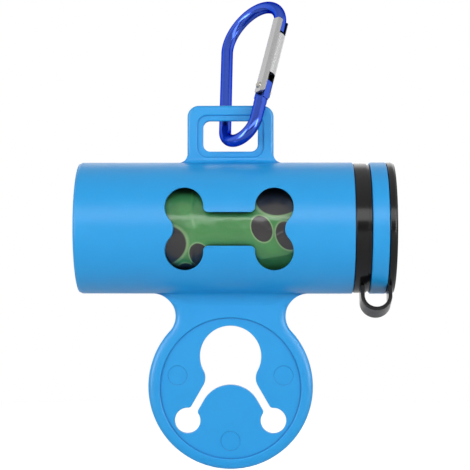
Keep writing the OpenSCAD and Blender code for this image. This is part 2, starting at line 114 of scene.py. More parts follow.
bpy.ops.object.camera_add(location=CAMERA_PLACE, rotation=(math.radians(90), 0, CAMERA_YAW))
camera = bpy.context.object
camera.name = "camera"
camera.data.lens = LENS_MM
camera.data.sensor_width = SENSOR_MM
camera.data.clip_start = 0.01
bpy.context.scene.camera = camera
# "Standard" shows each colour as it is, where the default would grey the brightest ones
bpy.context.scene.view_settings.view_transform = "Standard"
print("camera at", tuple(round(c, 3) for c in camera.location))

# %% [markdown]
# ## Nodes and colours
# All finishes are node trees. Two helpers keep them short: one turns the hex colours that a designer
# writes into the linear numbers that the shader wants, and one adds a node with its settings and
# links in a single call.

# %% Helpers for materials
def linear(hex_colour):
    """An sRGB hex colour as linear red, green, blue and alpha."""
    def channel(c):
        return c / 12.92 if c <= 0.04045 else ((c + 0.055) / 1.055) ** 2.4
    return tuple(channel(int(hex_colour[i:i + 2], 16) / 255) for i in (1, 3, 5)) + (1.0,)


def add_node(tree, kind, settings=None, links=None):
    """Adds a node. A setting is an input's value or a property. A link joins an output to an input."""
    node = tree.nodes.new(kind)
    for name, value in (settings or {}).items():
        if isinstance(name, str) and hasattr(node, name) and name not in node.inputs:
            setattr(node, name, value)
        else:
            node.inputs[name].default_value = value
    for name, socket in (links or {}).items():
        tree.links.new(socket, node.inputs[name])
    return node


def new_material(name):
    """An empty material and its tree, with an output node."""
    material = bpy.data.materials.new(name)
    material.use_nodes = True
    material.node_tree.nodes.clear()
    output = material.node_tree.nodes.new("ShaderNodeOutputMaterial")
    return material, material.node_tree, output


print("helpers ready")

# %% [markdown]
# ## The studio
# The light is plain and soft. The world is a white room that is brighter behind the object, where
# the backdrop stands, and on both sides, where white reflectors stand, than in front, where the
# camera stands: without that difference the metal would have nothing to mirror and the disc's round
# rim would show no light band. What the camera sees past the object is plain white, so the room's
# own shades only show in what shines.

# %% World
WHITE = linear("#ffffff")
# how bright the room is for matt surfaces, and its floor's and ceiling's shade in what shines
ROOM_FILL, ROOM_FLOOR, ROOM_CEILING = 0.31, 0.08, 0.75

world = bpy.data.worlds.new("white_room")
bpy.context.scene.world = world
world.use_nodes = True
tree = world.node_tree
tree.nodes.clear()
output = tree.nodes.new("ShaderNodeOutputWorld")
direction = add_node(tree, "ShaderNodeTexCoord")
split = add_node(tree, "ShaderNodeSeparateXYZ", links={"Vector": direction.outputs["Generated"]})
behind = add_node(tree, "ShaderNodeMapRange", {"From Min": 0.1, "From Max": 0.8},
                  {"Value": split.outputs["Y"]})
above = add_node(tree, "ShaderNodeMapRange",
                 {"From Min": -0.2, "From Max": 1.0, "To Min": ROOM_FLOOR, "To Max": ROOM_CEILING},
                 {"Value": split.outputs["Z"]})
aside = add_node(tree, "ShaderNodeMath", {"operation": "ABSOLUTE"}, {0: split.outputs["X"]})
beside = add_node(tree, "ShaderNodeMapRange", {"From Min": 0.35, "From Max": 0.7},
                  {"Value": aside.outputs[0]})
walls = add_node(tree, "ShaderNodeMath", {"operation": "MAXIMUM"},
                 {0: behind.outputs["Result"], 1: beside.outputs["Result"]})
room = add_node(tree, "ShaderNodeMath", {"operation": "MAXIMUM"},
                {0: walls.outputs[0], 1: above.outputs["Result"]})
path = add_node(tree, "ShaderNodeLightPath")
fill = add_node(tree, "ShaderNodeBackground", {"Color": WHITE, "Strength": ROOM_FILL})
mirrored = add_node(tree, "ShaderNodeBackground", {"Color": WHITE}, {"Strength": room.outputs[0]})
seen = add_node(tree, "ShaderNodeBackground", {"Color": WHITE, "Strength": 1.0})
shiny = add_node(tree, "ShaderNodeMath", {"operation": "MAXIMUM"},
                 {0: path.outputs["Is Glossy Ray"], 1: path.outputs["Is Transmission Ray"]})
lit = add_node(tree, "ShaderNodeMixShader",
               links={0: shiny.outputs[0], 1: fill.outputs[0], 2: mirrored.outputs[0]})
final = add_node(tree, "ShaderNodeMixShader",
                 links={0: path.outputs["Is Camera Ray"], 1: lit.outputs[0], 2: seen.outputs[0]})
tree.links.new(final.outputs[0], output.inputs["Surface"])
print("world:", len(tree.nodes), "nodes")

# %% [markdown]
# ## Softboxes
# One wide softbox in front and above draws the long highlight along the tube, and its height is read
# from where that highlight lies on the round surface. One from below lifts the tube's underside, as a
# white table does. An upright strip on each side draws the light bands on the left and right of the
# disc's rim, and a large one behind lights the back for anyone who walks round.

# %% Softboxes
def softbox(name, place, target, width, height, watts):
    """A rectangular area lamp that faces a point. Its sides are in metres."""
    bpy.ops.object.light_add(type="AREA", location=place)
    lamp = bpy.context.object
    lamp.name = name
    lamp.data.shape = "RECTANGLE"
    lamp.data.size, lamp.data.size_y = width, height
    lamp.data.energy = watts
    lamp.rotation_euler = (Vector(target) - Vector(place)).to_track_quat("-Z", "Y").to_euler()
    return lamp


HOUSING_MIDDLE = at(0, 0, -20)

lamps = [
    softbox("key_softbox", at(60, -660, 278), at(0, 0, -10), width=0.85, height=0.26, watts=1.8),
    softbox("low_softbox", at(-60, -400, -560), HOUSING_MIDDLE, width=0.6, height=0.3, watts=3.6),
    softbox("left_strip", at(-530, -440, -20), HOUSING_MIDDLE, width=0.2, height=0.7, watts=3.2),
    softbox("right_strip", at(530, -440, -20), HOUSING_MIDDLE, width=0.2, height=0.7, watts=3.2),
    softbox("back_softbox", at(-40, 700, 120), HOUSING_MIDDLE, width=1.5, height=1.0, watts=2.3),
]
print("lamps:", ", ".join(lamp.name for lamp in lamps))

# %% [markdown]
# ## The floor
# The floor is a pale disc just below the dispenser. Close to the object it is an ordinary matt
# surface that takes the shadow; further out it fades into the white of the background, but only for
# what the camera sees, so it adds no light to the object.

# %% Floor
FLOOR_R, FLOOR_GAP = 3.0, 0.012
# how far from the tube's middle the floor starts to fade, and where it is all white
FADE_FROM, FADE_TO = 0.1, 0.3

bpy.ops.mesh.primitive_circle_add(vertices=96, radius=FLOOR_R, fill_type="NGON",
                                  location=(TUBE_MIDDLE.x, TUBE_MIDDLE.y, cad_box[0].z - FLOOR_GAP))
floor = bpy.context.object
floor.name = "floor"
bpy.ops.object.transform_apply(location=True, rotation=True, scale=True)

matt_floor, tree, output = new_material("matt_white_floor")
place = add_node(tree, "ShaderNodeTexCoord")
centred = add_node(tree, "ShaderNodeVectorMath", {"operation": "SUBTRACT", 1: TUBE_MIDDLE},
                   {0: place.outputs["Object"]})
distance = add_node(tree, "ShaderNodeVectorMath", {"operation": "LENGTH"}, {0: centred.outputs[0]})
fade = add_node(tree, "ShaderNodeMapRange", {"From Min": FADE_FROM, "From Max": FADE_TO},
                {"Value": distance.outputs["Value"]})
path = add_node(tree, "ShaderNodeLightPath")
seen_fade = add_node(tree, "ShaderNodeMath", {"operation": "MULTIPLY"},
                     {0: fade.outputs["Result"], 1: path.outputs["Is Camera Ray"]})
paint = add_node(tree, "ShaderNodeBsdfDiffuse", {"Color": linear("#f4f4f3"), "Roughness": 0.6})
lift = add_node(tree, "ShaderNodeMath", {"operation": "MULTIPLY", 1: 0.5},
                {0: path.outputs["Is Camera Ray"]})
glow = add_node(tree, "ShaderNodeEmission", {"Color": WHITE}, {"Strength": lift.outputs[0]})
near = add_node(tree, "ShaderNodeAddShader", links={0: paint.outputs[0], 1: glow.outputs[0]})
far = add_node(tree, "ShaderNodeEmission", {"Color": WHITE, "Strength": 1.0})
both = add_node(tree, "ShaderNodeMixShader",
                links={0: seen_fade.outputs[0], 1: near.outputs[0], 2: far.outputs[0]})
tree.links.new(both.outputs[0], output.inputs["Surface"])
floor.data.materials.append(matt_floor)
print("floor at", round(floor.data.vertices[0].co.z, 4))

# %% [markdown]
# ## Painted shade in the corners
# Where two surfaces of a coloured part meet in a corner, light bounces between them and takes on more
# of their colour each time, so the corner looks deeper. That draws the line where one form ends and
# the next starts. It could be left to the bounces of the render, but those are few. So an ambient
# occlusion node, which tells how much of the surroundings a place can see, finds the corners and
# paints a deeper, darker shade into the colour there: painted shade. The plastics, the metals and
# the film all use it.

# %% Corner shade
def painted_corner_shade(tree, colour, deep, reach_mm, shut, free):
    """A colour with painted shade: it goes over to a deep one as the free share of the surroundings
    falls to shut.
    """
    openness = add_node(tree, "ShaderNodeAmbientOcclusion", {"samples": 8, "Distance": reach_mm * MM})
    corner = add_node(tree, "ShaderNodeMapRange", {"From Min": shut, "From Max": free},
                      {"Value": openness.outputs["AO"]})
    return add_node(tree, "ShaderNodeMix", {"data_type": "RGBA", 6: linear(deep)},
                    {0: corner.outputs["Result"], 7: colour}).outputs[2]


print("corner shade ready")

# %% [markdown]
# ## Finishes of moulded plastic
# The housing is polypropylene from a lightly textured steel mould: a satin skin, faint flow marks
# a few millimetres wide and a fine grain. The cap, its ring and its strap are soft black
# polyethylene, which takes a smoother polish from its mould. Both could be one flat colour, but then
# the long highlight on the tube would have a hard edge that no moulded part has.

# %% Moulded plastics
MOULD_GRAIN_HEIGHT_MM = 0.012


def moulded_plastic(name, colour, shade, deep, roughness, grain_mm, flow_mm, mirror, glow_through=0.0):
    """A satin moulded plastic with faint flow marks, the mould's fine grain and painted shade in its
    corners.
    """
    material, tree, output = new_material(name)
    place = add_node(tree, "ShaderNodeTexCoord")
    flow = add_node(tree, "ShaderNodeTexNoise",
                    {"Scale": 1 / (flow_mm * MM), "Detail": 3.0, "Roughness": 0.55},
                    {"Vector": place.outputs["Object"]})
    tint = add_node(tree, "ShaderNodeMix", {"data_type": "RGBA", 6: linear(shade), 7: linear(colour)},
                    {0: flow.outputs["Fac"]})
    rough = add_node(tree, "ShaderNodeMapRange",
                     {"From Min": 0.3, "From Max": 0.7,
                      "To Min": roughness - 0.04, "To Max": roughness + 0.05},
                     {"Value": flow.outputs["Fac"]})
    grain = add_node(tree, "ShaderNodeTexNoise", {"Scale": 1 / (grain_mm * MM), "Detail": 2.0},
                     {"Vector": place.outputs["Object"]})
    relief = add_node(tree, "ShaderNodeBump", {"Strength": 0.5, "Distance": MOULD_GRAIN_HEIGHT_MM * MM},
                      {"Height": grain.outputs["Fac"]})
    # painted shade: the base colour goes over to deep in corners that see little of the room
    skin = add_node(tree, "ShaderNodeBsdfPrincipled",
                    {"IOR": 1.49, "Specular IOR Level": mirror,
                     "Subsurface Weight": glow_through, "Subsurface Scale": 0.001},
                    {"Base Color": painted_corner_shade(tree, tint.outputs[2], deep,
                                                  reach_mm=1.4, shut=0.45, free=0.9),
                     "Roughness": rough.outputs["Result"], "Normal": relief.outputs["Normal"]})
    tree.links.new(skin.outputs[0], output.inputs["Surface"])
    return material


# deep: the colour of the painted shade in each plastic's corners
# polypropylene from a fine textured mould: a wide soft highlight that breaks up a little
blue_polypropylene = moulded_plastic(
    "moulded_blue_polypropylene", colour="#1b99dc", shade="#1793d6", deep="#0e5fab",
    roughness=0.36, grain_mm=0.35, flow_mm=9.0, mirror=0.6, glow_through=0.08)
# polyethylene from a smoother mould: nearly black, with one narrow clear highlight
black_polyethylene = moulded_plastic(
    "moulded_black_polyethylene", colour="#0c0b0d", shade="#09080a", deep="#050505",
    roughness=0.17, grain_mm=0.3, flow_mm=5.0, mirror=0.42)
print("plastics:", blue_polypropylene.name, black_polyethylene.name)

# %% [markdown]
# ## Finishes of metal
# The carabiner's rod is drawn aluminium, tumbled, then dyed royal blue by anodising: a coloured
# mirror, a little blurred. Light that grazes the rod goes a longer way through the dyed layer, so the
# metal's tint for grazing light makes the rod darker along its edges. The gate is left undyed and has
# the fine mottling of tumbled sheet. The rivet and the spring inside are plain steel. One function
# serves them all, because they differ only in colour, polish and the size of their mottling.

# %% Metals
def metal(name, colour, shade, deep, edge, roughness, mottle_mm, mottle_height_mm):
    """A metal with fine mottling, with its own colour where it turns away from the eye, and painted
    shade in its corners.
    """
    material, tree, output = new_material(name)
    place = add_node(tree, "ShaderNodeTexCoord")
    mottle = add_node(tree, "ShaderNodeTexNoise", {"Scale": 1 / (mottle_mm * MM), "Detail": 3.0},
                      {"Vector": place.outputs["Object"]})
    tint = add_node(tree, "ShaderNodeMix", {"data_type": "RGBA", 6: linear(shade), 7: linear(colour)},
                    {0: mottle.outputs["Fac"]})
    rough = add_node(tree, "ShaderNodeMapRange",
                     {"From Min": 0.3, "From Max": 0.7,
                      "To Min": roughness - 0.04, "To Max": roughness + 0.06},
                     {"Value": mottle.outputs["Fac"]})
    relief = add_node(tree, "ShaderNodeBump", {"Strength": 0.4, "Distance": mottle_height_mm * MM},
                      {"Height": mottle.outputs["Fac"]})
    # painted shade: the base colour goes over to deep in corners that see little of the room
    skin = add_node(tree, "ShaderNodeBsdfPrincipled", {"Metallic": 1.0, "Specular Tint": linear(edge)},
                    {"Base Color": painted_corner_shade(tree, tint.outputs[2], deep,
                                                  reach_mm=1.6, shut=0.35, free=0.8),
                     "Roughness": rough.outputs["Result"], "Normal": relief.outputs["Normal"]})
    tree.links.new(skin.outputs[0], output.inputs["Surface"])
    return material


# deep: the colour of the painted shade in each metal's corners
# tumbled, then anodised and dyed: bright streaks with soft ends on a deep blue
blue_anodised = metal(
    "anodised_blue_aluminium", colour="#4c6ad8", shade="#415cca", deep="#090b24", edge="#6b66a6",
    roughness=0.17, mottle_mm=1.2, mottle_height_mm=0.003)
# bent sheet, tumbled and left bare: an even light grey, nearly white where it faces a softbox
bare_aluminium = metal(
    "drawn_bare_aluminium", colour="#c8c8c9", shade="#bbbbbc", deep="#1c1b1b", edge="#ffffff",
    roughness=0.36, mottle_mm=0.25, mottle_height_mm=0.006)
# steel wire and rivet stock: a small warm glint on the rivet's head
plain_steel = metal(
    "plain_steel", colour="#bdbbb4", shade="#a9a79f", deep="#1c1b1b", edge="#ffffff",
    roughness=0.3, mottle_mm=0.2, mottle_height_mm=0.006)
# blackened steel: the plunger stays a dark end inside the gate
black_steel = metal(
    "blackened_steel", colour="#2a2a2c", shade="#1d1d1f", deep="#060606", edge="#ffffff",
    roughness=0.4, mottle_mm=0.2, mottle_height_mm=0.006)
print("metals:", blue_anodised.name, bare_aluminium.name, plain_steel.name, black_steel.name)

# %% [markdown]
# ## Cardboard for the core
# The core is a short tube of grey-brown board, wound and glued. It is matt and rough, with fibres
# under a millimetre long, and is only seen from the end when the cap is off. A coarse noise of the
# fibres' size, which drives both the colour and the bumps, is enough for it.

# %% Cardboard
FIBRE_MM = 0.8

# wound and glued grey-brown board: rough, matt, no highlight
cardboard, tree, output = new_material("grey_brown_cardboard")
place = add_node(tree, "ShaderNodeTexCoord")
fibres = add_node(tree, "ShaderNodeTexNoise",
                  {"Scale": 1 / (FIBRE_MM * MM), "Detail": 5.0, "Roughness": 0.7},
                  {"Vector": place.outputs["Object"]})
tint = add_node(tree, "ShaderNodeMix", {"data_type": "RGBA", 6: linear("#8f7350"), 7: linear("#b59a72")},
                {0: fibres.outputs["Fac"]})
relief = add_node(tree, "ShaderNodeBump", {"Strength": 0.6, "Distance": 0.05 * MM},
                  {"Height": fibres.outputs["Fac"]})
skin = add_node(tree, "ShaderNodeBsdfPrincipled", {"Roughness": 0.85, "IOR": 1.45},
                {"Base Color": tint.outputs[2], "Normal": relief.outputs["Normal"]})
tree.links.new(skin.outputs[0], output.inputs["Surface"])
print("cardboard:", cardboard.name)

# %% [markdown]
# ## Printed film
# The bags are blown polyethylene film, dyed green and printed with black paw prints. The prints have
# to lie on the film and curve with it, so the pattern reads the film's own flat map, in metres, and
# not the place in space. The map is moved, turned and wrapped into cells with one paw each. A paw is
# five ellipses: the distance to each is worked out, and where the nearest is below one there is ink.

# %% Paw prints on the film
PAW_CELL = Vector((37.0, 33.0, 1.0)) * MM
PAW_START = Vector((-16.5, 32.0, 0.0)) * MM
PAW_TURN = math.radians(24)
# each pad's middle and its two radii, in millimetres from the paw's middle
PAW_PADS = [((0.0, -3.2), (7.4, 5.8)), ((-9.0, 3.6), (2.8, 3.8)), ((-3.3, 8.3), (3.0, 4.2)),
            ((3.3, 8.3), (3.0, 4.2)), ((9.0, 3.6), (2.8, 3.8))]

printed_film, tree, output = new_material("printed_green_polyethylene_film")
flat = add_node(tree, "ShaderNodeUVMap", {"uv_map": "film_flat"})
moved = add_node(tree, "ShaderNodeVectorMath", {"operation": "SUBTRACT", 1: PAW_START},
                 {0: flat.outputs[0]})
turned = add_node(tree, "ShaderNodeMapping", {"Rotation": (0, 0, PAW_TURN)},
                  {"Vector": moved.outputs[0]})
cell = add_node(tree, "ShaderNodeVectorMath", {"operation": "WRAP", 1: PAW_CELL / 2, 2: -PAW_CELL / 2},
                {0: turned.outputs[0]})
nearest = None
for (x, y), (rx, ry) in PAW_PADS:
    offset = add_node(tree, "ShaderNodeVectorMath", {"operation": "SUBTRACT", 1: (x * MM, y * MM, 0)},
                      {0: cell.outputs[0]})
    scaled = add_node(tree, "ShaderNodeVectorMath",
                      {"operation": "MULTIPLY", 1: (1 / (rx * MM), 1 / (ry * MM), 0)},
                      {0: offset.outputs[0]})
    distance = add_node(tree, "ShaderNodeVectorMath", {"operation": "LENGTH"},
                        {0: scaled.outputs[0]}).outputs["Value"]
    if nearest is not None:
        distance = add_node(tree, "ShaderNodeMath", {"operation": "MINIMUM"},
                            {0: nearest, 1: distance}).outputs[0]
    nearest = distance
print("paw prints:", len(PAW_PADS), "pads each")

# %% [markdown]
# ## Skin of the film
# The ink sits on the film a little proud, so a thin pale line runs round it. Thin film is glossy but
# never flat, so it gets a fine ripple on top of the folds that its mesh has. A skin under a clear coat
# gives the eye both a broad sheen and a sharper one on top, and the film is darker where the tube's
# wall hides it from the light.

# %% Film
INK, INK_EDGE, GREEN, DEEP_GREEN, SHADED_GREEN = "#1a1416", "#769c67", "#3f8843", "#32783a", "#14160f"
CLOUD_MM, RIPPLE_MM, RIPPLE_HEIGHT_MM = 7, 2.4, 0.16

# blown and dyed polyethylene film: a soft sheen with sharper streaks on its folds
place = add_node(tree, "ShaderNodeTexCoord")
cloud = add_node(tree, "ShaderNodeTexNoise", {"Scale": 1 / (CLOUD_MM * MM), "Detail": 3.0},
                 {"Vector": place.outputs["Object"]})
dyed = add_node(tree, "ShaderNodeMix", {"data_type": "RGBA", 6: linear(DEEP_GREEN), 7: linear(GREEN)},
                {0: cloud.outputs["Fac"]})
rim = add_node(tree, "ShaderNodeMapRange", {"From Min": 1.16, "From Max": 1.06}, {"Value": nearest})
outlined = add_node(tree, "ShaderNodeMix", {"data_type": "RGBA", 7: linear(INK_EDGE)},
                    {0: rim.outputs["Result"], 6: dyed.outputs[2]})
inked = add_node(tree, "ShaderNodeMapRange", {"From Min": 1.03, "From Max": 0.97}, {"Value": nearest})
printed = add_node(tree, "ShaderNodeMix", {"data_type": "RGBA", 7: linear(INK)},
                   {0: inked.outputs["Result"], 6: outlined.outputs[2]})
ripple = add_node(tree, "ShaderNodeTexNoise",
                  {"Scale": 1 / (RIPPLE_MM * MM), "Detail": 4.0, "Roughness": 0.6},
                  {"Vector": place.outputs["Object"]})
relief = add_node(tree, "ShaderNodeBump", {"Strength": 0.8, "Distance": RIPPLE_HEIGHT_MM * MM},
                  {"Height": ripple.outputs["Fac"]})
# painted shade: the printed colour goes over to SHADED_GREEN where the tube's wall hides the film
skin = add_node(tree, "ShaderNodeBsdfPrincipled",
                {"Roughness": 0.36, "IOR": 1.51, "Specular IOR Level": 0.55,
                 "Coat Weight": 1.0, "Coat Roughness": 0.22, "Coat IOR": 1.55,
                 "Subsurface Weight": 0.1, "Subsurface Scale": 0.001},
                {"Base Color": painted_corner_shade(tree, printed.outputs[2], SHADED_GREEN,
                                              reach_mm=3.0, shut=0.3, free=0.62),
                 "Normal": relief.outputs["Normal"]})
tree.links.new(skin.outputs[0], output.inputs["Surface"])
print("film:", printed_film.name)

# %% [markdown]
# ## The wound roll
# Some fifteen bags are wound on the core, each pressed flat and folded. From the side only the
# outermost film shows. At the two ends the layers show as fine rings, which here follow the distance
# from the roll's own middle line. The real layers are 0.05 mm thick, too fine to show, so the rings
# are drawn 0.6 mm apart.

# %% Layers at the roll's ends
# the roll lies low in the bore, so its middle is a little below the tube's
ROLL_Z = -0.7
LAYER_MM, WOBBLE_MM, WOBBLE_SPREAD_MM = 0.6, 0.5, 4

# film pressed flat and wound tight: a dull green with fine rings
wound_film, tree, output = new_material("wound_green_polyethylene_film")
place = add_node(tree, "ShaderNodeTexCoord")
offset = add_node(tree, "ShaderNodeVectorMath", {"operation": "SUBTRACT", 1: at(0, 0, ROLL_Z)},
                  {0: place.outputs["Object"]})
across = add_node(tree, "ShaderNodeVectorMath", {"operation": "MULTIPLY", 1: (0, 1, 1)},
                  {0: offset.outputs[0]})
radius = add_node(tree, "ShaderNodeVectorMath", {"operation": "LENGTH"}, {0: across.outputs[0]})
wobble = add_node(tree, "ShaderNodeTexNoise", {"Scale": 1 / (WOBBLE_SPREAD_MM * MM), "Detail": 2.0},
                  {"Vector": place.outputs["Object"]})
layer = add_node(tree, "ShaderNodeMath", {"operation": "MULTIPLY_ADD", 1: WOBBLE_MM * MM},
                 {0: wobble.outputs["Fac"], 2: radius.outputs["Value"]})
rings = add_node(tree, "ShaderNodeMath", {"operation": "MULTIPLY", 1: 2 * math.pi / (LAYER_MM * MM)},
                 {0: layer.outputs[0]})
wave = add_node(tree, "ShaderNodeMath", {"operation": "SINE"}, {0: rings.outputs[0]})
height = add_node(tree, "ShaderNodeMapRange", {"From Min": -1.0, "From Max": 1.0},
                  {"Value": wave.outputs[0]})
tint = add_node(tree, "ShaderNodeMix", {"data_type": "RGBA", 6: linear("#2f6a39"), 7: linear(GREEN)},
                {0: height.outputs["Result"]})
relief = add_node(tree, "ShaderNodeBump", {"Strength": 0.6, "Distance": 0.1 * MM},
                  {"Height": height.outputs["Result"]})
skin = add_node(tree, "ShaderNodeBsdfPrincipled", {"Roughness": 0.4, "IOR": 1.51},
                {"Base Color": tint.outputs[2], "Normal": relief.outputs["Normal"]})
tree.links.new(skin.outputs[0], output.inputs["Surface"])
print("roll's ends:", wound_film.name)

# %% [markdown]
# ## The parts that keep their CAD shape
# The carabiner, its gate, the rivet, the spring and its plunger, the ring, the cap, the roll and the
# cardboard core have their final shapes already, so they only change their finish. The housing with
# its disc, the strap and the loose bag get theirs here too, and are modelled further below.

# %% Finishes on CAD parts
CAD_FINISHES = {
    "carabiner_body": blue_anodised, "carabiner_gate": bare_aluminium, "gate_rivet": plain_steel,
    "gate_spring": plain_steel, "spring_plunger": black_steel, "end_cap": black_polyethylene,
    "tether_ring": black_polyethylene, "tether_strap": black_polyethylene, "roll_core": cardboard,
    "housing": blue_polypropylene, "bag_holder": blue_polypropylene, "bag_roll": wound_film,
    "lead_bag": wound_film,
}
for name, material in CAD_FINISHES.items():
    frame["nodes"][name].material_slots[0].material = material
print("dressed:", ", ".join(sorted(CAD_FINISHES)))

# %% [markdown]
# ## Tools for rounding a copy
# No mould makes a sharp edge, and a rounded edge is what catches the light and tells the eye that a
# thing is real. A CAD part's own mesh stays as it is, so a copy is taken, its loose triangles are
# merged and its flat faces made whole, and then chosen edges are bevelled. They are chosen by their
# place and by how sharply they bend, never by number, because numbers change with every new mesh.

# %% Merged copies and chosen edges
def merged_copy(names, piece_name):
    """The CAD nodes' meshes as one new piece of clean, joined faces."""
    bpy.ops.object.select_all(action="DESELECT")
    for name in names:
        frame["nodes"][name].select_set(True)
    bpy.context.view_layer.objects.active = frame["nodes"][names[0]]
    bpy.ops.object.duplicate()
    if len(names) > 1:
        bpy.ops.object.join()
    piece = bpy.context.object
    bpy.ops.object.parent_clear(type="CLEAR_KEEP_TRANSFORM")
    for key in list(piece.keys()):
        del piece[key]
    piece.name = piece.data.name = piece_name
    bpy.ops.mesh.customdata_custom_splitnormals_clear()
    bpy.ops.object.mode_set(mode="EDIT")
    bpy.ops.mesh.select_all(action="SELECT")
    bpy.ops.mesh.remove_doubles(threshold=0.001 * MM)
    bpy.ops.object.mode_set(mode="OBJECT")
    return piece


def choose(piece, kind, test):
    """Selects the piece's faces or edges that pass a test, and gives how many there are."""
    bpy.context.view_layer.objects.active = piece
    bpy.ops.object.mode_set(mode="EDIT")
    bpy.ops.mesh.select_mode(type=kind)
    mesh = bmesh.from_edit_mesh(piece.data)
    found = 0
    for element in (mesh.faces if kind == "FACE" else mesh.edges):
        chosen = bool(test(element))
        element.select_set(chosen)
        found += chosen
    mesh.select_flush_mode()
    bmesh.update_edit_mesh(piece.data)
    return found


def from_tube(point):
    """A point of the frame in millimetres from the tube's middle."""
    return (point - TUBE_MIDDLE) / MM


def sharp(edge, degrees):
    """True where the two faces beside an edge bend outwards by more than some degrees."""
    return (len(edge.link_faces) == 2 and edge.is_convex
            and edge.calc_face_angle() > math.radians(degrees))


def soften(piece, width_mm, segments, test, degrees=30):
    """Bevels the sharp edges whose two ends pass a test, in millimetres from the tube's middle."""
    count = choose(piece, "EDGE",
                   lambda e: sharp(e, degrees) and all(test(from_tube(v.co)) for v in e.verts))
    if count:
        bpy.ops.mesh.bevel(offset=width_mm * MM, segments=segments, profile=0.5, clamp_overlap=False)
    bpy.ops.object.mode_set(mode="OBJECT")
    print(f"{piece.name}: {count} edges rounded by {width_mm} mm")


def smooth(piece):
    """Smooth shading that keeps flat faces flat and sharp edges sharp."""
    bpy.ops.object.select_all(action="DESELECT")
    piece.select_set(True)
    bpy.context.view_layer.objects.active = piece
    bpy.ops.object.shade_smooth_by_angle(angle=math.radians(32))
    modifier = piece.modifiers.new("flat_faces", "WEIGHTED_NORMAL")
    modifier.keep_sharp = True
    bpy.ops.object.modifier_apply(modifier=modifier.name)


print("rounding tools ready")

# %% [markdown]
# ## The moulded housing
# The tube, the loop and the disc come out of the mould as one piece. The CAD model draws them as two
# solids that meet in a flat face just below the tube, so the two copies are joined and that inner
# face is taken away. Modelling the moulding again from primitives would be possible too, but the
# copies have the window and the slots already, at the right size.

# %% Join the moulding
# the tube's radius, and half the thickness that the disc, its neck and the loop have at their rims
TUBE_R, PLATE_HALF = 19.0, 1.5
# how far above and below the tube's middle that plate leaves the round tube
PLATE_ROOT_Z = math.sqrt(TUBE_R ** 2 - PLATE_HALF ** 2)
# the flat face between the two solids is a little further down
INNER_FACE_Z = -PLATE_ROOT_Z - 0.6


def on_plate(p, slack=0.01):
    """True for a point on the front or the back face of the disc, its neck or the loop."""
    return abs(abs(p.y) - PLATE_HALF) < slack


shell = merged_copy(["housing", "bag_holder"], "moulded_housing")
inner = choose(shell, "FACE", lambda f: abs(f.normal.z) > 0.9
               and all(abs(from_tube(v.co).z - INNER_FACE_Z) < 0.01 for v in f.verts))
bpy.ops.mesh.delete(type="FACE")
bpy.ops.mesh.select_all(action="SELECT")
bpy.ops.mesh.remove_doubles(threshold=0.001 * MM)
print("inner faces removed:", inner)

# %% [markdown]
# ## Whole faces on the disc
# Merging flat faces leaves long thin ones with stray edges between them, and an edge that runs out to
# the rim would show as a nick once the rim is rounded. A ring of flat face round the recess can't be
# one face with a hole in it. So the faces are made whole, cut once down the middle, and every other
# flat edge on them is taken out.

# %% Clean the flat faces
FLAT = math.radians(0.5)
DISC_TOP_Z = -18

bpy.ops.mesh.dissolve_limited(angle_limit=FLAT)
bpy.ops.mesh.select_all(action="SELECT")
bpy.ops.mesh.bisect(plane_co=TUBE_MIDDLE, plane_no=(1, 0, 0))
strays = choose(shell, "EDGE", lambda e: all(from_tube(v.co).z < DISC_TOP_Z for v in e.verts)
                and all(on_plate(from_tube(v.co), 0.002) for v in e.verts)
                and any(abs(from_tube(v.co).x) > 0.01 for v in e.verts)
                and len(e.link_faces) == 2 and e.calc_face_angle() < FLAT)
bpy.ops.mesh.dissolve_edges(use_verts=False)
open_edges = choose(shell, "EDGE", lambda e: len(e.link_faces) != 2)
bpy.ops.object.mode_set(mode="OBJECT")
print("stray edges removed:", strays, "open edges:", open_edges, "faces:", len(shell.data.polygons))

# %% [markdown]
# ## Rounded edges of the moulding
# Each kind of edge has its own width. The disc and the neck have a fat round rim that the fingers
# feel, nearly as deep as half the plate, so that front and back make one round edge. The loop has a
# smaller one. The recess, the slots and the window get only what a mould needs to let the piece go.
# One bevel for all of them would be quicker, but the wide one would eat the thin walls of the slots.

# %% Round the moulding
DISC_MIDDLE_Z = -46.0
# the recess: its radius, how far its middle lies below the disc's, and half the thickness left in it
RECESS_R, RECESS_DROP, RECESS_HALF = 20.4, 0.4, 0.9
# the rim's edges start below the tube, the slots' further down, and the loop's above the tube
RIM_TOP_Z, SLOTS_TOP_Z, LOOP_FOOT_Z = -20.2, -25, 20.4
# half the length and height of a box round the window, and half the width of the loop
WINDOW_X, WINDOW_Z, LOOP_X = 19, 13, 12.6
RIM_ROUND, RECESS_ROUND, SLOT_ROUND, WINDOW_ROUND, LOOP_ROUND = 1.3, 0.4, 0.25, 0.14, 0.42


def from_recess(p):
    """How far a point is from the middle of the disc's round recess."""
    return math.hypot(p.x, p.z - DISC_MIDDLE_Z + RECESS_DROP)


def on_window(p):
    """True for a point of the window's edge on the outside of the tube."""
    return (abs(math.hypot(p.y, p.z) - TUBE_R) < 0.02
            and abs(p.x) < WINDOW_X and abs(p.z) < WINDOW_Z and p.y < 0)


soften(shell, RIM_ROUND, 7,
       lambda p: p.z < RIM_TOP_Z and on_plate(p) and from_recess(p) > RECESS_R + 0.3)
soften(shell, RECESS_ROUND, 3,
       lambda p: p.z < RIM_TOP_Z and on_plate(p) and from_recess(p) < RECESS_R + 0.1)
soften(shell, SLOT_ROUND, 2, lambda p: p.z < SLOTS_TOP_Z and abs(abs(p.y) - RECESS_HALF) < 0.01)
soften(shell, WINDOW_ROUND, 2, on_window)
soften(shell, LOOP_ROUND, 4,
       lambda p: p.z > LOOP_FOOT_Z and abs(p.x) < LOOP_X and 0.95 < abs(p.y) < PLATE_HALF + 0.02)

# %% [markdown]
# ## A flattened bead for the rim
# A bevel rounds the rim as far inwards as it is deep. The real rim is flatter: a soft bead that the
# thumb feels. So each point that the bevel made is moved further inwards, in proportion to how far
# inside the outline it lies. Near the tube the move fades out, and the bead runs into the neck
# without a step.

# %% Stretch the rim's rounding
DISC_R = 23.9
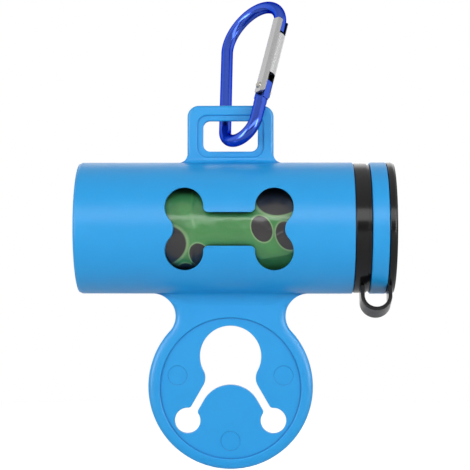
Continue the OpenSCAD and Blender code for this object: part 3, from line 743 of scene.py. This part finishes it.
# the arcs at the neck's sides touch the disc where the line between the two middles crosses its rim
NECK_ARC_X, NECK_ARC_Z, NECK_ARC_R = 22.582, -25.523, 6.582
NECK_FOOT_ANGLE = math.atan2(NECK_ARC_X, NECK_ARC_Z - DISC_MIDDLE_Z)
# how many times wider than deep the bead gets, and over how much height it fades out below the tube
RIM_STRETCH, RIM_FADE = 2.0, 3.5


def from_outline(p):
    """How far a point lies inside the outline of the disc and the neck, and the way further inwards."""
    neck_arc = Vector((math.copysign(NECK_ARC_X, p.x), 0, NECK_ARC_Z))
    out_of_arc = Vector((p.x, 0, p.z)) - neck_arc
    to_middle = Vector((-p.x, 0, DISC_MIDDLE_Z - p.z))
    if math.atan2(abs(p.x), p.z - DISC_MIDDLE_Z) < NECK_FOOT_ANGLE:
        return out_of_arc.length - NECK_ARC_R, out_of_arc.normalized()
    return DISC_R - to_middle.length, to_middle.normalized()


stretched = 0
for vertex in shell.data.vertices:
    p = from_tube(vertex.co)
    inwards, way = from_outline(p)
    on_bead = PLATE_HALF - RIM_ROUND - 0.01 < abs(p.y) < PLATE_HALF + 0.01
    if p.z < RIM_TOP_Z and on_bead and -0.005 < inwards < RIM_ROUND + 0.02:
        share = min(1.0, (RIM_TOP_Z - p.z) / RIM_FADE)
        share *= share * (3 - 2 * share)
        vertex.co += way * inwards * (RIM_STRETCH * share - 1) * MM
        vertex.co.y += math.copysign((PLATE_HALF - abs(p.y)) * (1 - share), p.y) * MM
        stretched += 1
print("rim rounded over", RIM_ROUND * RIM_STRETCH, "mm,", stretched, "points moved")

# %% [markdown]
# ## Round inner corners
# Where the disc's neck and the loop grow out of the tube, the mould has a round inner corner, so that
# the plastic flows well and doesn't tear there. Each is a strip along the tube whose section is a
# hollow arc that touches both surfaces, with its back buried in the plastic. It thins out to nothing
# at its ends. A Boolean union would weld the strips in, but it would cut the clean rim to pieces.

# %% Corner strips
STRIP_STEPS, ARC_STEPS = 56, 7
# how far the strip's back lies inside the plate and the tube
BURIED = Vector((0, 0.5, 0.8))


def corner_strip(name, face, above, half_length, radius, fade):
    """The round inner corner on one face (-1 front, 1 back) below (-1) or above (1) the tube."""
    bpy.ops.object.select_all(action="DESELECT")
    # one more row for the back, and a last one that falls on the first and closes the section
    bpy.ops.mesh.primitive_grid_add(x_subdivisions=STRIP_STEPS, y_subdivisions=ARC_STEPS + 2, size=1)
    strip = bpy.context.object
    strip.name = strip.data.name = name
    rows = sorted({round(v.co.y, 5) for v in strip.data.vertices})
    corner = Vector((0, PLATE_HALF, PLATE_ROOT_Z))
    for vertex in strip.data.vertices:
        x, row = 2 * half_length * vertex.co.x, rows.index(round(vertex.co.y, 5)) % (ARC_STEPS + 2)
        share = min(1.0, (half_length - abs(x)) / fade)
        q = radius * share * share * (3 - 2 * share)
        middle = Vector((0, PLATE_HALF + q, math.sqrt((TUBE_R + q) ** 2 - (PLATE_HALF + q) ** 2)))
        if row > ARC_STEPS:
            place = corner - BURIED * q / radius
        else:
            # from the plate's face round to the tube
            last = math.atan2(-middle.z, -middle.y)
            turn = -math.pi + (last + math.pi) * row / ARC_STEPS
            place = middle + q * Vector((0, math.cos(turn), math.sin(turn)))
        vertex.co = at(x, place.y * face, place.z * above)
    bpy.ops.object.mode_set(mode="EDIT")
    bpy.ops.mesh.select_all(action="SELECT")
    bpy.ops.mesh.remove_doubles(threshold=0.0005 * MM)
    bpy.ops.mesh.normals_make_consistent(inside=False)
    bpy.ops.object.mode_set(mode="OBJECT")
    return strip


# half length, radius and the way over which it thins out
NECK_CORNER, LOOP_CORNER = (20.5, 4.0, 10.0), (14.0, 1.4, 3.0)
strips = [corner_strip(f"corner_{face}_{above}", face, above, *sizes)
          for face in (-1, 1) for above, sizes in ((-1, NECK_CORNER), (1, LOOP_CORNER))]
print("corner strips:", len(strips))

# %% [markdown]
# ## One piece of plastic
# The strips and the moulding become one piece, which takes the place of both CAD nodes. It moves with
# the housing, and its shading is smooth over the roundings and even on the flats.

# %% Join strips and moulding
bpy.ops.object.select_all(action="DESELECT")
for strip in strips:
    strip.data.materials.append(blue_polypropylene)
    strip.select_set(True)
shell.select_set(True)
bpy.context.view_layer.objects.active = shell
bpy.ops.object.join()
smooth(shell)
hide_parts("housing", "bag_holder")
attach(shell, "housing")
print("housing:", len(shell.data.polygons), "faces")

# %% [markdown]
# ## The strap
# The strap that ties the cap to its ring is a thin band that bends out and back, from the ring at one
# end to the cap at the other. Its bend is in the CAD model already, so a copy of that only gets whole
# faces and rounded edges.

# %% Strap
STRAP_ROUND, STRAP_SHARP = 0.22, 40

strap = merged_copy(["tether_strap"], "bent_strap")
bpy.ops.object.mode_set(mode="EDIT")
bpy.ops.mesh.select_all(action="SELECT")
bpy.ops.mesh.dissolve_limited(angle_limit=FLAT)
bpy.ops.object.mode_set(mode="OBJECT")
soften(strap, STRAP_ROUND, 3, lambda p: True, STRAP_SHARP)
smooth(strap)
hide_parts("tether_strap")
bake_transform(strap)
print("strap:", len(strap.data.polygons), "faces")

# %% [markdown]
# ## How the loose film lies
# The outermost bag lies loosely round the roll, and a real film never lies flat. It has a long soft
# ridge where it stands off the roll, one crease round it and one across, and ripples between, all of
# them a fraction of a millimetre high. A cloth simulation could find such folds, but not the same ones
# each time, so a few simple curves are added up instead. The front edge is torn at a slant.

# %% Ripples, ridge and creases
# each ripple's length along the roll in millimetres and round it in degrees, its seed and its height
RIPPLES = [(11, 26, 3.7, 0.15), (3, 9, 9.1, 0.09)]
# heights and places, in degrees round from the top or in millimetres along the roll, and half widths
RIDGE_HEIGHT, RIDGE_AT, RIDGE_WIDTH = 0.22, 76, 7
ROUND_CREASE_HEIGHT, ROUND_CREASE_X, ROUND_CREASE_WIDTH = 0.24, -10.4, 0.36
CROSS_CREASE_HEIGHT, CROSS_CREASE_AT, CROSS_CREASE_WIDTH = 0.16, 92, 1.3
# the crease across runs at a slant, and fades out on both sides of its own middle
CROSS_START_X, CROSS_SLANT, CROSS_MIDDLE_X, CROSS_HALF = 15.5, 1.6, 13, 5
# the torn edge: where it is, its slant in degrees a millimetre, and the tongue on its left
TORN_AT, TORN_SLANT, TORN_BEND_X, TONGUE_TURN, TONGUE_LENGTH = 127, 0.75, 2, 10, 12


def fold(distance, width):
    """The height of a rounded fold at a distance from its middle, which is 1 high."""
    return math.exp(-(distance / width) ** 2)


def film_offset(x, angle):
    """How far the film stands off its even radius, at x along it and an angle round from the top."""
    front = math.degrees(angle)
    ripple = sum(noise.noise(Vector((x / along, front / around, seed))) * height
                 for along, around, seed, height in RIPPLES)
    ridge = RIDGE_HEIGHT * fold(front - RIDGE_AT - 1.2 * math.sin(x / 6), RIDGE_WIDTH)
    crease_round = ROUND_CREASE_HEIGHT * fold(x - ROUND_CREASE_X + 0.25 * math.sin(front / 9),
                                              ROUND_CREASE_WIDTH)
    slant = front - CROSS_CREASE_AT - (CROSS_START_X - x) * CROSS_SLANT
    crease_across = (CROSS_CREASE_HEIGHT * fold(slant, CROSS_CREASE_WIDTH)
                     * max(0.0, 1 - ((x - CROSS_MIDDLE_X) / CROSS_HALF) ** 2))
    return ripple + ridge + crease_round + crease_across


def torn_edge(x):
    """How far round from the top the film's torn edge lies, in degrees."""
    slant = TORN_SLANT * max(0.0, x - TORN_BEND_X)
    tongue = TONGUE_TURN * max(0.0, min(1.0, (TORN_BEND_X - x) / TONGUE_LENGTH))
    return TORN_AT - slant + tongue


print("film's torn edge from", torn_edge(-20), "to", torn_edge(20), "degrees")

# %% [markdown]
# ## The film round the roll
# The film is a flat grid whose points are carried round the roll's middle line and pushed out by the
# folds. It never comes nearer the middle line than the roll's skin, nor further out than the bore at
# its nearest, so it can turn all the way round inside the tube. Each point's place on the flat film is
# kept as a map for the prints. Its flat size is the roll's width by the length of its turn.

# %% Film round the roll
# the film's even radius, its least and its most
FILM_R, LEAST_R, MOST_R = 15.48, 15.32, 15.74
FILM_TURN, ROLL_HALF, ROLL_X = 250.0, 31.0, -1.45
STEPS_ALONG, STEPS_ROUND = 190, 180

bpy.ops.object.select_all(action="DESELECT")
bpy.ops.mesh.primitive_grid_add(x_subdivisions=STEPS_ALONG, y_subdivisions=STEPS_ROUND, size=1)
film = bpy.context.object
film.name = film.data.name = "loose_film"
flat_map = film.data.uv_layers.new(name="film_flat")
places = []
for vertex in film.data.vertices:
    x = ROLL_X + 2 * ROLL_HALF * vertex.co.x
    angle = math.radians(-FILM_TURN / 2 + (FILM_TURN / 2 + torn_edge(x)) * (vertex.co.y + 0.5))
    radius = min(MOST_R, max(LEAST_R, FILM_R + film_offset(x, angle)))
    places.append((x, angle))
    vertex.co = at(x, -radius * math.sin(angle), ROLL_Z + radius * math.cos(angle))
for loop in film.data.loops:
    x, angle = places[loop.vertex_index]
    flat_map.data[loop.index].uv = ((x - ROLL_X) * MM, FILM_R * angle * MM)
bpy.ops.object.mode_set(mode="EDIT")
bpy.ops.mesh.select_all(action="SELECT")
bpy.ops.mesh.normals_make_consistent(inside=False)
bpy.ops.object.mode_set(mode="OBJECT")
outward = film.data.polygons[len(film.data.polygons) // 2].normal.dot(Vector((0, 0, 1)))
print("film's faces point", "out" if outward > 0 else "in")

# %% [markdown]
# ## The film's thickness
# A bag is wound folded, so what shows is a few layers thick. Solidify adds that on the inner side, and
# the film moves with the roll.

# %% Thickness of the film
FOLDED_FILM_MM = 0.1

thickness = film.modifiers.new("folded_film", "SOLIDIFY")
thickness.thickness = FOLDED_FILM_MM * MM
thickness.offset = -1
bpy.ops.object.modifier_apply(modifier=thickness.name)
bpy.ops.object.shade_smooth_by_angle(angle=math.radians(60))
film.data.materials.append(printed_film)
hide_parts("lead_bag")
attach(film, "roll")
print("film:", len(film.data.polygons), "faces")
